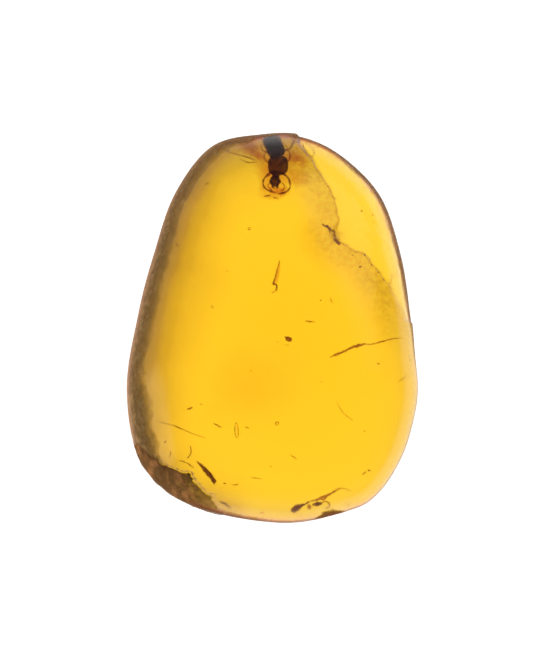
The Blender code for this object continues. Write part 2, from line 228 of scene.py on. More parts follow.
def smooth_run(points, per_span, closed=False):
    """Points along a Catmull-Rom curve through the given ones."""
    count = len(points)
    run = []
    for i in range(count if closed else count - 1):
        near = [points[(i + k) % count] if closed else points[min(max(i + k, 0), count - 1)] for k in (-1, 0, 1, 2)]
        before, start, end, after = (np.array(p, float) for p in near)
        for t in np.arange(per_span) / per_span:
            run.append(
                start
                + 0.5 * t * (end - before)
                + t**2 * (before - 2.5 * start + 2 * end - 0.5 * after)
                + t**3 * (1.5 * start - 0.5 * before - 1.5 * end + 0.5 * after)
            )
    if not closed:
        run.append(np.array(points[-1], float))
    return np.array(run)


outline_run = smooth_run(OUTLINE, 24, closed=True)
outline_angle = np.arctan2(outline_run[:, 1], outline_run[:, 0])
outline_order = np.argsort(outline_angle)


def girdle_radius(angle):
    radii = np.hypot(outline_run[:, 0], outline_run[:, 1])
    return np.interp(angle, outline_angle[outline_order], radii[outline_order], period=2 * math.pi)


def smooth_step(value, low, high):
    share = np.clip((value - low) / (high - low), 0, 1)
    return share * share * (3 - 2 * share)


def beyond_ledge(scar, x, y):
    """How far each place lies past a scar's ledge, in millimetres: more than 0 is in the scar."""
    corners = np.array(scar["ledge"] + scar["far"])
    inside = np.zeros(len(x), bool)
    for (ax, ay), (bx, by) in zip(corners, np.roll(corners, -1, axis=0)):
        spans = (ay > y) != (by > y)
        slope = (bx - ax) / (by - ay) if by != ay else 0
        inside ^= spans & (x < ax + (y - ay) * slope)
    away = np.full(len(x), 1e9)
    ledge = np.array(scar["ledge"])
    for start, end in zip(ledge[:-1], ledge[1:]):
        run = end - start
        share = np.clip(((x - start[0]) * run[0] + (y - start[1]) * run[1]) / (run @ run), 0, 1)
        away = np.minimum(away, np.hypot(x - start[0] - share * run[0], y - start[1] - share * run[1]))
    past = np.where(inside, away, -away)
    for i in np.flatnonzero(away < 0.6):
        past[i] += scar["jags"] * noise.fractal(Vector((x[i], y[i], 0)) * JAGS_PER_MM, 0.8, 2.0, 3)
    return past


def skin_places(ways):
    """Where the stone's skin lies in each direction from its middle, in millimetres."""
    up = ways[:, 2] >= 0
    rise = np.where(up, TOP_RISE, BOTTOM_DROP)
    power = np.where(up, TOP_POWER, BOTTOM_POWER)
    across = np.hypot(ways[:, 0], ways[:, 1])
    reach = (across**power + np.abs(ways[:, 2]) ** power) ** (-1 / power)
    radius = girdle_radius(np.arctan2(ways[:, 1], ways[:, 0]))
    level = reach * ways[:, 2]
    shift = np.where(up[:, None], SUMMIT_SHIFT, BASE_SHIFT) * level[:, None] ** 2
    x = reach * ways[:, 0] * radius + shift[:, 0]
    y = reach * ways[:, 1] * radius + shift[:, 1]
    z = GIRDLE_HEIGHT + level * rise
    for (cx, cy), side, dent_reach, depth in DENTS:
        away = np.hypot(x - cx, y - cy) / dent_reach
        z -= np.where(up == (side > 0), level * depth * np.exp(-(away**2)), 0)
    places = np.stack([x, y, z], axis=1)
    inward = ways * np.stack([np.ones(len(x)), np.ones(len(x)), up.astype(float)], axis=1)
    for scar in (FLAKE_SCAR, CRUST_SCAR):
        across, along = ((places[:, i] - scar["centre"][i]) / scar["reach"][i] for i in (0, 1))
        depth = scar["depth"] * np.exp(-(across**2 + along**2)) * smooth_step(places[:, 2], *scar["fades"])
        past = beyond_ledge(scar, places[:, 0], places[:, 1])
        depth *= smooth_step(past, -LEDGE_WIDTH / 2, LEDGE_WIDTH / 2)
        if scar is FLAKE_SCAR:
            from_blow = np.hypot(places[:, 0] - RIPPLE_CENTRE[0], places[:, 1] - RIPPLE_CENTRE[1])
            ripple = RIPPLE_DEPTH * np.cos(from_blow * 2 * math.pi / RIPPLE_SPACING)
            depth += ripple * smooth_step(past, 0.1, 0.6) * smooth_step(places[:, 2], *scar["fades"])
        places = places - depth[:, None] * inward
    # The chip: what lies in its hollow goes back to the hollow's wall.
    scaled = (places - CHIP_CENTRE) / CHIP_HALF_SIZE
    back = ways / CHIP_HALF_SIZE
    hit = np.sum(scaled**2, axis=1) < 1
    along, squares = np.sum(scaled * back, axis=1), np.sum(back**2, axis=1)
    root = np.sqrt(np.maximum(along**2 - squares * (np.sum(scaled**2, axis=1) - 1), 0))
    places -= np.where(hit, (along + root) / squares, 0)[:, None] * ways
    places[:, 2] = np.maximum(places[:, 2], 0)
    return places


def even_ways(work):
    """The direction in which each point of a divided cube is drawn out."""
    cube = np.tan(np.array([v.co for v in work.verts]) * math.pi / 4)
    return cube / np.linalg.norm(cube, axis=1)[:, None]


def near_breaks(places):
    """Which places lie close to a ledge or the chip, where the mesh is finer."""
    near = np.linalg.norm((places - CHIP_CENTRE) / CHIP_HALF_SIZE, axis=1) < 1.25
    for scar in (FLAKE_SCAR, CRUST_SCAR):
        past = beyond_ledge(scar, places[:, 0], places[:, 1])
        near |= (np.abs(past) < 0.3) & (places[:, 2] > scar["fades"][0])
    return near


work = bmesh.new()
bmesh.ops.create_cube(work, size=2)
bmesh.ops.subdivide_edges(work, edges=work.edges, cuts=SKIN_DIVISIONS - 1, use_grid_fill=True)
near = near_breaks(skin_places(even_ways(work)))
edges = [e for e in work.edges if near[e.verts[0].index] and near[e.verts[1].index]]
bmesh.ops.subdivide_edges(work, edges=edges, cuts=1, use_grid_fill=True)
bmesh.ops.triangulate(work, faces=[f for f in work.faces if len(f.verts) > 4])
places = skin_places(even_ways(work))
for vertex, place in zip(work.verts, places):
    vertex.co = Vector(place) * MM
bmesh.ops.recalc_face_normals(work, faces=work.faces)
skin_count = len(work.verts)
for centre, half_size, turn in BUBBLES:
    shell = bmesh.ops.create_uvsphere(work, u_segments=24, v_segments=14, radius=1)["verts"]
    for vertex in shell:
        grown = Vector([c * h for c, h in zip(vertex.co, half_size)])
        vertex.co = (Matrix.Rotation(math.radians(turn), 3, "Z") @ grown + Vector(centre)) * MM
    bmesh.ops.reverse_faces(work, faces=list({f for v in shell for f in v.link_faces}))
amber_mesh = bpy.data.meshes.new("amber")
work.to_mesh(amber_mesh)
work.free()
amber_mesh.shade_smooth()
amber = bpy.data.objects.new("amber", amber_mesh)
bpy.context.scene.collection.objects.link(amber)

# Where painted shade darkens the skin, on the flanks and beside the flake's ledge, and where it is worn, flaked or
# chipped.
normals = np.array([v.normal for v in amber_mesh.vertices])[:skin_count]
plan_angle = np.degrees(np.arctan2(places[:, 1], places[:, 0]))
# Painted shade: the flanks are darkened most on the left, standing in for the darker surroundings seen through them.
flank_shading = np.interp(plan_angle, *zip(*FLANK_SHADING), period=360)
beyond_flake = beyond_ledge(FLAKE_SCAR, places[:, 0], places[:, 1])
flaked = smooth_step(beyond_flake, 0.0, 0.2) * smooth_step(places[:, 2], *FLAKE_SCAR["fades"])
on_top = smooth_step(places[:, 2], 3.4, 4.6)
from_corner = np.hypot(places[:, 0] - LEDGE_SHADE_CENTRE[0], places[:, 1] - LEDGE_SHADE_CENTRE[1])
corner = np.exp(-((from_corner / LEDGE_SHADE_CENTRE_REACH) ** 2))
inner = 1 - 0.75 * smooth_step(places[:, 0], 6.6, 8.0)
masks = {
    "shaded_flanks": np.clip((0.98 - np.abs(normals[:, 2])) / 0.34, 0, 0.9) * flank_shading * (1 - 0.85 * flaked),
    "worn": 1 - smooth_step(np.abs(normals[:, 2]), 0.35, 0.85),
    "flaked": flaked,
    "ledge_shade": ((1 - smooth_step(-beyond_flake, *LEDGE_SHADE_REACH)) * (beyond_flake < 0) + 1.5 * corner) * on_top * inner,
    "chipped": 1 - smooth_step(np.linalg.norm((places - CHIP_CENTRE) / CHIP_HALF_SIZE, axis=1), 1.0, 1.15),
}
for name, values in masks.items():
    layer = amber_mesh.attributes.new(name, "FLOAT", "POINT")
    layer.data.foreach_set("value", np.concatenate([values, np.zeros(len(amber_mesh.vertices) - skin_count)]))

# A group that mottles a surface between two colours, in grains as coarse as asked, longer along one way.
mottle = bpy.data.node_groups.new("mottle", "ShaderNodeTree")
for name, kind, value in (
    ("Pale", "NodeSocketColor", (1, 1, 1, 1)),
    ("Deep", "NodeSocketColor", (0, 0, 0, 1)),
    ("Stretch", "NodeSocketVector", (1, 1, 1)),
    ("Grains per mm", "NodeSocketFloat", 4.0),
    ("Contrast", "NodeSocketFloat", 0.5),
):
    mottle.interface.new_socket(name, in_out="INPUT", socket_type=kind).default_value = value
for name, kind in (("Color", "NodeSocketColor"), ("Height", "NodeSocketFloat"), ("Mask", "NodeSocketFloat")):
    mottle.interface.new_socket(name, in_out="OUTPUT", socket_type=kind)
given = mottle.nodes.new("NodeGroupInput").outputs
place = add_node(mottle, "TexCoord").outputs["Object"]
drawn = add_node(mottle, "VectorMath", {0: place, 1: given["Stretch"]}, operation="MULTIPLY").outputs[0]
grain_scale = add_math(mottle, "MULTIPLY", given["Grains per mm"], 1 / MM)
fine = add_node(mottle, "TexNoise", {"Vector": drawn, "Scale": grain_scale, "Detail": 5.0, "Roughness": 0.62})
low = add_math(mottle, "SUBTRACT", 0.5, add_math(mottle, "MULTIPLY", given["Contrast"], 0.5))
high = add_math(mottle, "ADD", 0.5, add_math(mottle, "MULTIPLY", add_math(mottle, "SUBTRACT", 1.0, given["Contrast"]), 0.5))
mask = add_ramp(mottle, fine.outputs[0], add_math(mottle, "MULTIPLY", high, 0.6), add_math(mottle, "ADD", high, 0.0))
colour = add_mix(mottle, mask, given["Deep"], given["Pale"])
taken = mottle.nodes.new("NodeGroupOutput").inputs
mottle.links.new(colour, taken["Color"])
mottle.links.new(fine.outputs[0], taken["Height"])
mottle.links.new(mask, taken["Mask"])


def add_mottle(tree, pale, deep, grains, stretch=(1, 1, 1), contrast=0.5):
    made = tree.nodes.new("ShaderNodeGroup")
    made.node_tree = mottle
    for name, value in (("Pale", pale), ("Deep", deep), ("Grains per mm", grains), ("Stretch", stretch), ("Contrast", contrast)):
        made.inputs[name].default_value = (*value, 1) if name in ("Pale", "Deep") else value
    return made.outputs


def attribute(tree, name):
    return add_node(tree, "Attribute", None, attribute_name=name).outputs["Fac"]


amber_finish = bpy.data.materials.new("amber")
amber_finish.use_nodes = True
tree = amber_finish.node_tree
shader = tree.nodes["Principled BSDF"]
shader.inputs["Transmission Weight"].default_value = 1
shader.inputs["IOR"].default_value = 1.54
# Painted shade: the flanks, most on the left, and the bed beside the flake's ledge are darkened towards brown, in soft
# clouds, standing in for the darker surroundings seen through the flanks and for the ledge's shade.
clouds = add_mottle(tree, (1, 1, 1), (0.6, 0.6, 0.6), 0.45)
shade_grain = add_mottle(tree, (1, 1, 1), (0, 0, 0), 3.0)
# Painted shade beside the flake's ledge, patchy in strength.
ledge_shading = add_math(tree, "MULTIPLY", attribute(tree, "ledge_shade"), add_ramp(tree, shade_grain["Height"], 0.3, 0.7, 0.07, 0.17))
painted_shade = add_math(tree, "ADD", add_math(tree, "MULTIPLY", attribute(tree, "shaded_flanks"), 0.8), ledge_shading)
painted_shade = add_math(tree, "MULTIPLY", painted_shade, add_ramp(tree, clouds["Height"], 0.25, 0.75, 0.88, 1.12))
tint = add_node(tree, "ValToRGB", {"Fac": painted_shade})
stops = tint.color_ramp.elements
stops[0].position, stops[0].color = 0.0, (1, 1, 1, 1)
stops[1].position, stops[1].color = 1.0, (0.045, 0.026, 0.017, 1)
for position, colour in ((0.08, (0.74, 0.7, 0.66)), (0.2, (0.45, 0.38, 0.33)), (0.4, (0.22, 0.15, 0.11)), (0.7, (0.08, 0.05, 0.035))):
    stops.new(position).color = (*colour, 1)
colour = add_mix(tree, add_math(tree, "MULTIPLY", attribute(tree, "chipped"), 0.85), tint.outputs["Color"], (0.3, 0.05, 0.015, 1))
tree.links.new(colour, shader.inputs["Base Color"])
# The flake's bed is a little frosted, the flanks are worn, and the polish has a fine haze.
haze = add_mottle(tree, (1, 1, 1), (0, 0, 0), 3.0)
flaked = attribute(tree, "flaked")
rough = add_ramp(tree, haze["Height"], 0.35, 0.7, 0.07, 0.14)
rough = add_math(tree, "ADD", rough, add_math(tree, "MULTIPLY", attribute(tree, "worn"), 0.2))
rough = add_math(tree, "ADD", rough, add_math(tree, "MULTIPLY", flaked, add_ramp(tree, haze["Height"], 0.4, 0.65, 0.02, 0.16)))
tree.links.new(rough, shader.inputs["Roughness"])
waves = add_mottle(tree, (1, 1, 1), (0, 0, 0), 0.9)
height = add_math(tree, "ADD", waves["Height"], add_math(tree, "MULTIPLY", flaked, add_math(tree, "MULTIPLY", haze["Height"], 0.5)))
bump = add_node(tree, "Bump", {"Height": height, "Strength": 0.35, "Distance": 0.00004})
tree.links.new(bump.outputs[0], shader.inputs["Normal"])
absorption = add_node(tree, "VolumeAbsorption", {"Color": (0.997, 0.8905, 0.107, 1), "Density": 600.0})
tree.links.new(absorption.outputs[0], tree.nodes["Material Output"].inputs["Volume"])
amber_mesh.materials.append(amber_finish)
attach(amber, "root")
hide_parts("amber_upper", "amber_lower")

# ------------------------------------------------------------------------------------------------------------------
# The rind. A dull brown skin, hair-thin along the flanks, that is painted shade: it darkens the band round the rim,
# most on the left, standing in for the darker surroundings seen through the flanks. In the hollow at the lower left it
# is a lumpy, ribbed crust, what is left of the nugget's weathered outside. It is part of the stone.

# Round the girdle: the plan angle in degrees, how far in from the outline the rind's painted shade reaches in
# millimetres, how much it covers, and how pale it is rubbed along its outer edge.
RIND_ALONG = [
    (-180, 1.3, 0.74, 0.9), (-160, 1.4, 0.82, 1.0), (-145, 2.0, 0.95, 1.0), (-134, 1.9, 0.95, 0.6), (-120, 0.5, 0.8, 0),
    (-90, 0.25, 0.3, 0), (-60, 0.15, 0.12, 0), (-20, 0.12, 0.12, 0), (0, 0.25, 0.45, 0.2), (20, 0.45, 0.7, 0.3),
    (40, 0.55, 0.75, 0.3), (60, 0.6, 0.75, 0.3), (75, 0.6, 0.6, 0.2), (83, 0.5, 0.5, 0.15), (87, 0.25, 0.45, 0.1), (93, 0.3, 0.45, 0.1),
    (99, 0.8, 0.6, 0.15), (112, 1.1, 0.7, 0.3),
    (130, 1.2, 0.72, 0.5), (150, 1.35, 0.72, 0.8),
]
RIND_WANDERS = 0.22  # share by which its inner edge runs in and out
RUBBED_REACH = 0.26
CRUST_ALONG = [(-150, 1), (-130, 0.95), (-118, 0.75), (-108, 0.35)]  # the crust thins out to the right
RIND_LIFT = 0.004
RIND_THICKNESS = 0.016
CRUST_THICKNESS = 0.07
CRUST_RIBS_PER_MM = 0.75
# Painted shadow: the crust is darkened beside its ledge, where the ledge shades it.
CRUST_SHADOW_REACH = 0.16  # the crust is darkest beside its ledge
CHIP_STAIN = ((3.55, -11.65, 4.9), (1.05, 0.72, 1.5))  # dirt has browned the chip: its middle and half size
RIND_FADES = (0.5, 1.9)  # how far under the girdle the painted shade begins to fade, and where little of it is left

along, widths, covers, rubs = zip(*RIND_ALONG)
reach, cover, rubbed = (np.interp(plan_angle, along, values, period=360) for values in (widths, covers, rubs))
reach *= 1 + RIND_WANDERS * np.array([noise.fractal(Vector(place) * 1.1, 0.8, 2.0, 3) for place in places])
inward = girdle_radius(np.radians(plan_angle)) - np.hypot(places[:, 0], places[:, 1])
rubbed *= np.exp(-((np.maximum(inward, 0) / RUBBED_REACH) ** 2))
under = GIRDLE_HEIGHT - places[:, 2]
rubbed *= 1 - smooth_step(under, 0.3, 1.2)
cover *= 1 - 0.85 * smooth_step(under + 0.5 * (reach / np.mean(reach) - 1), *RIND_FADES)
beyond_crust = beyond_ledge(CRUST_SCAR, places[:, 0], places[:, 1])
crusted = smooth_step(beyond_crust, -0.02, 0.1) * smooth_step(places[:, 2], 1.0, 2.4)
crust_ledge_shadow = crusted * np.exp(-np.maximum(beyond_crust, 0) / CRUST_SHADOW_REACH)
crust_cover = np.interp(plan_angle, *zip(*CRUST_ALONG))
# The cover: painted shade along the flanks, and the real crust in the lower left hollow; the dirt stain on the chip is
# added below.
rind_and_shade = np.maximum((1 - smooth_step(inward, 0.2 * reach, reach)) * cover, crusted * crust_cover)
from_chip = np.linalg.norm((places - CHIP_STAIN[0]) / CHIP_STAIN[1], axis=1)
from_chip += 0.25 * np.array([noise.noise(Vector(place) * 2.6) for place in places])
stained = 0.8 * (1 - smooth_step(from_chip, 0.55, 1.05))
rind_and_shade = np.maximum(rind_and_shade, stained)



def largest_patch(faces):
    """Of the faces, those of the largest patch that hangs together along its edges."""
    beside = {}
    for i, face in enumerate(faces):
        for k in range(len(face)):
            beside.setdefault(frozenset((face[k - 1], face[k])), []).append(i)
    left, largest = set(range(len(faces))), []
    while left:
        patch, front = [], [left.pop()]
        while front:
            patch.append(front.pop())
            face = faces[patch[-1]]
            for k in range(len(face)):
                reached = left.intersection(beside[frozenset((face[k - 1], face[k]))])
                left -= reached
                front.extend(reached)
        largest = max(largest, patch, key=len)
    return [faces[i] for i in sorted(largest)]


covered = rind_and_shade >= 0.03
outer_faces = [tuple(face.vertices) for face in amber_mesh.polygons if max(face.vertices) < skin_count]
outer_faces = largest_patch([face for face in outer_faces if covered[list(face)].all()])
used = sorted({v for face in outer_faces for v in face})
number = {v: i for i, v in enumerate(used)}
outer_faces = [tuple(number[v] for v in face) for face in outer_faces]
inner, outer = [], []
for v in used:
    place, normal = Vector(places[v]), Vector(normals[v])
    ribs = math.cos((place.x * 0.8 - place.y * 0.6) * CRUST_RIBS_PER_MM * 2 * math.pi + 2 * noise.noise(place * 0.8))
    lumps = 0.55 + 0.45 * noise.fractal(place * 2.4, 0.7, 2.0, 4) + 0.16 * ribs
    thick = RIND_THICKNESS + crusted[v] * CRUST_THICKNESS * max(lumps, 0.1)
    inner.append((place + normal * RIND_LIFT) * MM)
    outer.append((place + normal * (RIND_LIFT + thick)) * MM)
count = len(used)
inner_faces = [tuple(i + count for i in reversed(face)) for face in outer_faces]
runs = {(face[k - 1], face[k]) for face in outer_faces for k in range(len(face))}
rim_faces = [(b, a, a + count, b + count) for a, b in sorted(runs) if (b, a) not in runs]
rind_mesh = bpy.data.meshes.new("rind_and_shade")
rind_mesh.from_pydata(outer + inner, [], outer_faces + inner_faces + rim_faces)
for name, values in (("rind_and_shade", rind_and_shade), ("crusted", crusted), ("crust_ledge_shadow", crust_ledge_shadow), ("rubbed", rubbed), ("stained", stained)):
    layer = rind_mesh.attributes.new(name, "FLOAT", "POINT")
    layer.data.foreach_set("value", np.tile(values[used], 2))


def add_piece(name, mesh, finishes):
    """The mesh as a named piece of the object, smooth shaded."""
    mesh.shade_smooth()
    for finish in finishes:
        mesh.materials.append(finish)
    piece = bpy.data.objects.new(name, mesh)
    bpy.context.scene.collection.objects.link(piece)
    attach(piece, "root")
    return piece


rind_finish = bpy.data.materials.new("rind_and_painted_shade")
rind_finish.use_nodes = True
tree = rind_finish.node_tree
shader = tree.nodes["Principled BSDF"]
shader.inputs["IOR"].default_value = 1.12
# The skin's colour along the flanks is painted shade; the crust and the chip's stain have their own colours.
painted_shade = add_mottle(tree, (0.56, 0.34, 0.125), (0.32, 0.18, 0.062), 2.4, (0.8, 0.8, 1.1))
crust = add_mottle(tree, (0.72, 0.31, 0.1), (0.28, 0.13, 0.038), 1.1, (1.5, 0.6, 0.6))
colour = add_mix(tree, attribute(tree, "rubbed"), painted_shade["Color"], (0.72, 0.4, 0.22, 1))
colour = add_mix(tree, attribute(tree, "crusted"), colour, crust["Color"])
# Painted shadow: darker brown on the crust just below its ledge.
colour = add_mix(tree, add_math(tree, "MULTIPLY", attribute(tree, "crust_ledge_shadow"), 0.75), colour, (0.1, 0.03, 0.01, 1))
colour = add_mix(tree, attribute(tree, "stained"), colour, (0.34, 0.1, 0.018, 1))
tree.links.new(colour, shader.inputs["Base Color"])
tree.links.new(add_ramp(tree, painted_shade["Height"], 0.3, 0.7, 0.6, 0.85), shader.inputs["Roughness"])
patchy_cover = add_ramp(tree, painted_shade["Height"], 0.25, 0.6, 0.6, 1.15)
cover = add_math(tree, "MULTIPLY", attribute(tree, "rind_and_shade"), patchy_cover)
tree.links.new(add_math(tree, "MINIMUM", cover, 1.0), shader.inputs["Alpha"])
grain = add_math(tree, "ADD", painted_shade["Height"], add_math(tree, "MULTIPLY", crust["Height"], attribute(tree, "crusted")))
ridges = add_node(tree, "Bump", {"Height": grain, "Strength": 0.6, "Distance": 0.00006})
tree.links.new(ridges.outputs[0], shader.inputs["Normal"])
rind_and_painted_shade = add_piece("rind_and_painted_shade", rind_mesh, [rind_finish])

# ------------------------------------------------------------------------------------------------------------------
# The browned resin. Juices from the beetle stained the resin round it before it set, in loose reddish clouds that
# have no edge and no surface of their own. Each cloud only takes light away as it passes.

CLOUDS = [
    # centre, half size, turn about Z in degrees
    ((-1.25, 10.45, 4.1), (1.15, 0.55, 0.42), -38),
    ((1.35, 9.95, 4.3), (0.95, 0.6, 0.4), -30),
    ((0.15, 9.5, 4.8), (1.25, 1.8, 0.3), 4),
    ((-0.75, 10.1, 4.7), (0.75, 0.32, 0.3), -35),
    ((0.1, 8.15, 4.6), (1.1, 0.7, 0.3), 0),
    ((0.5, 7.95, 4.1), (0.7, 0.36, 0.24), 0),
    ((1.5, 8.9, 4.6), (0.9, 0.9, 0.14), 0),
    ((-1.3, -3.6, 4.6), (3.6, 2.6, 0.04), 30),
]
CLOUD_LUMPS = 0.3  # share by which a cloud's edge wanders


def add_round(work, centre, half_size, power=2.0, turn=0.0, segments=40, relief=None):
    """A closed round shape in a mesh, in millimetres. relief gives how far it swells, at a place on a unit ball."""
    made = bmesh.ops.create_uvsphere(work, u_segments=segments, v_segments=segments // 2, radius=1)["verts"]
    turned = Matrix.Rotation(math.radians(turn), 3, "Z")
    for vertex in made:
        unit = vertex.co.copy()
        reach = sum(abs(c) ** power for c in unit) ** (-1 / power)
        grown = Vector([c * reach * half for c, half in zip(unit, half_size)])
        if relief:
            grown += unit * relief(unit)
        vertex.co = (turned @ grown + Vector(centre)) * MM
    return made


def closed_mesh(name, work):
    mesh = bpy.data.meshes.new(name)
    bmesh.ops.recalc_face_normals(work, faces=work.faces)
    work.to_mesh(mesh)
    work.free()
    return mesh


def sealed_finish(name, pale, deep, see_through, grains, stretch=(1, 1, 1), absorbs=None, bump=0.5):
    """The finish of something sealed in the resin. Resin wets it, so it neither shines nor bends light: IOR is 1."""
    finish = bpy.data.materials.new(name)
    finish.use_nodes = True
    tree = finish.node_tree
    shader = tree.nodes["Principled BSDF"]
    shader.inputs["Transmission Weight"].default_value = see_through
    shader.inputs["IOR"].default_value = 1.0
    grain = add_mottle(tree, pale, deep, grains, stretch)
    tree.links.new(grain["Color"], shader.inputs["Base Color"])
    tree.links.new(add_ramp(tree, grain["Height"], 0.3, 0.7, 0.35, 0.6), shader.inputs["Roughness"])
    ridges = add_node(tree, "Bump", {"Height": grain["Height"], "Strength": bump, "Distance": 0.00003})
    tree.links.new(ridges.outputs[0], shader.inputs["Normal"])
    if absorbs:
        colour, density = absorbs
        absorption = add_node(tree, "VolumeAbsorption", {"Color": (*colour, 1), "Density": density})
        tree.links.new(absorption.outputs[0], tree.nodes["Material Output"].inputs["Volume"])
    return finish


work = bmesh.new()
depth = work.verts.layers.float.new("depth")
for number, (centre, half_size, turn) in enumerate(CLOUDS):
    cloud = add_round(work, centre, half_size, turn=turn, segments=64)
    for vertex in cloud:
        # It thins out smoothly towards its rim, and the rim wanders.
        from_centre = vertex.co / MM - Vector(centre)
        flat = (Matrix.Rotation(-math.radians(turn), 3, "Z") @ from_centre)
        share = min((flat.x / half_size[0]) ** 2 + (flat.y / half_size[1]) ** 2, 1)
        wander = 1 + CLOUD_LUMPS * noise.fractal(Vector((flat.x, flat.y, number * 7)) / half_size[1] * 1.3, 0.7, 2.0, 3)
        from_centre.z *= 1 - share
        vertex[depth] = (1 - share) ** 2 * min(half_size[2] * 4, 1)
        from_centre.xy *= wander
        vertex.co = (from_centre + Vector(centre)) * MM
stain = bpy.data.materials.new("browned_resin")
stain.use_nodes = True
tree = stain.node_tree
shader = tree.nodes["Principled BSDF"]
shader.inputs["Transmission Weight"].default_value = 1
shader.inputs["IOR"].default_value = 1.0
shader.inputs["Roughness"].default_value = 0.0
streaks = add_mottle(tree, (1, 1, 1), (0.86, 0.6, 0.4), 3.2, (0.7, 1.0, 1.0))
deep_in = attribute(tree, "depth")
tree.links.new(add_mix(tree, deep_in, (1, 1, 1, 1), streaks["Color"]), shader.inputs["Base Color"])
absorption = add_node(tree, "VolumeAbsorption", {"Color": (0.72, 0.42, 0.2, 1), "Density": 1300.0})
tree.links.new(absorption.outputs[0], tree.nodes["Material Output"].inputs["Volume"])
browned_resin = add_piece("browned_resin", closed_mesh("browned_resin", work), [stain])

# ------------------------------------------------------------------------------------------------------------------
# The beetle. A small elongate beetle, whole, its chitin gone nearly black on the wing cases and a see-through brown
# on the thorax, head and limbs. It lies back up with its forelegs round its head, as the resin closed on it.

BEETLE_PLACE = Vector((0.15, 9.55, 3.9))
REAR_LEAN = 27  # degrees by which the wing cases lean to the left of the head and thorax
STRIAE = 9  # grooves round each wing case
STRIA_DEPTH = 0.009
ABDOMEN_RINGS = 6
LIMBS = {
    "right_foreleg": [
        (0.3, -0.5, -0.22), (0.78, -0.8, -0.24), (0.93, -1.3, -0.26), (0.72, -1.62, -0.28), (0.3, -1.74, -0.3),
    ],
    "left_foreleg": [
        (-0.1, -0.5, -0.22), (-0.56, -0.82, -0.24), (-0.68, -1.2, -0.26), (-0.46, -1.5, -0.28), (0.04, -1.66, -0.3),
    ],
    "right_middle_leg": [
        (0.5, 0.0, -0.25), (0.86, 0.16, -0.3), (0.88, 0.46, -0.34), (0.76, 0.74, -0.36), (0.64, 0.92, -0.38),
    ],
    "left_middle_leg": [
        (-0.15, -0.02, -0.25), (-0.5, 0.12, -0.28), (-0.62, 0.28, -0.34), (-0.56, 0.42, -0.4), (-0.46, 0.52, -0.42),
    ],
    "right_hind_leg": [
        (0.35, 0.6, -0.28), (0.84, 0.72, -0.34), (1.0, 0.92, -0.36), (1.06, 1.16, -0.36), (1.02, 1.36, -0.36),
    ],
    "left_hind_leg": [
        (-0.2, 0.55, -0.28), (-0.6, 0.62, -0.32), (-0.76, 0.76, -0.36), (-0.72, 0.92, -0.4), (-0.64, 1.02, -0.42),
    ],
    "right_antenna": [
        (0.24, -1.06, 0.04), (0.5, -1.12, 0.06), (0.6, -1.3, 0.05), (0.52, -1.47, 0.02), (0.42, -1.56, 0.0),
    ],
    "left_antenna": [
        (-0.12, -1.06, 0.04), (-0.34, -1.14, 0.06), (-0.38, -1.29, 0.05), (-0.26, -1.42, 0.02), (-0.14, -1.49, 0.0),
    ],
}
LEG_RADII = (0.08, 0.07, 0.055, 0.042, 0.028)
FORELEG_RADII = (0.08, 0.07, 0.055, 0.062, 0.05)
ANTENNA_RADII = (0.035, 0.032, 0.036, 0.06, 0.05)


def add_tube(work, points, radii, sides=12, per_span=6, flatness=1.0, lumps=0.0, lumps_per_mm=4.0, joints=0):
    """A closed tube along a smooth curve, round at its ends. It narrows at each of its joints in every span."""
    run = smooth_run([(*p, r) for p, r in zip(points, radii)], per_span)
    if joints:
        phase = np.arange(len(run)) / per_span * joints * 2 * math.pi
        run[:, 3] *= 0.8 - 0.2 * np.cos(phase)
    tips = []
    for end, inner in ((0, 1), (-1, -2)):
        out = run[end][:3] - run[inner][:3]
        out = np.append(out / np.linalg.norm(out), 0) * run[end][3]
        tips.append(run[end] + out)
        ring = run[end] + 0.65 * out
        ring[3] *= 0.72
        tips.append(ring)
    run = np.array([tips[1], *run, tips[3]])
    ways = np.gradient(run[:, :3], axis=0)
    rings = []
    for (x, y, z, radius), way in zip(run, ways):
        across = Vector(way).cross(Vector((0, 0, 1))).normalized()
        upward = across.cross(Vector(way)).normalized()
        ring = []
        for k in range(sides):
            angle = 2 * math.pi * k / sides
            out = across * math.cos(angle) + upward * math.sin(angle) * flatness
            swell = 1 + lumps * noise.fractal((Vector((x, y, z)) + out * radius) * lumps_per_mm, 0.7, 2.0, 3)
            ring.append(work.verts.new((Vector((x, y, z)) + out * radius * max(swell, 0.25)) * MM))
        rings.append(ring)
    faces = []
    for low, high in zip(rings[:-1], rings[1:]):
        for k in range(sides):
            faces.append(work.faces.new((low[k], low[k - 1], high[k - 1], high[k])))
    for tip, ring in ((tips[0], rings[0]), (tips[2], rings[-1])):
        pole = work.verts.new(Vector(tip[:3]) * MM)
        for k in range(sides):
            faces.append(work.faces.new((ring[k], ring[k - 1], pole)))
    return {v for face in faces for v in face.verts}


def leaned(x, y, z):
    turned = Matrix.Rotation(math.radians(REAR_LEAN), 3, "Z") @ Vector((x, y, 0))
    return BEETLE_PLACE + Vector((turned.x, turned.y, z))


def wing_case_relief(unit):
    # Grooves run from front to back and die out at both ends.
    round_about = math.atan2(unit.x, unit.z)
    return -STRIA_DEPTH * (0.5 + 0.5 * math.cos(round_about * STRIAE * 2)) * max(1 - unit.y**2, 0)


def abdomen_relief(unit):
    return -0.012 * (0.5 + 0.5 * math.cos(unit.y * ABDOMEN_RINGS * math.pi)) ** 3


def pronotum_relief(unit):
    # A raised rim round the sides, and a faint furrow down the middle.
    furrow = -0.012 * math.exp(-((unit.x / 0.12) ** 2)) * max(unit.z, 0)
    return furrow + 0.014 * math.exp(-((unit.z / 0.16) ** 2)) + 0.006 * noise.noise(unit * 9)


def faceted(unit):
    return 0.004 * noise.cell(unit * 14)


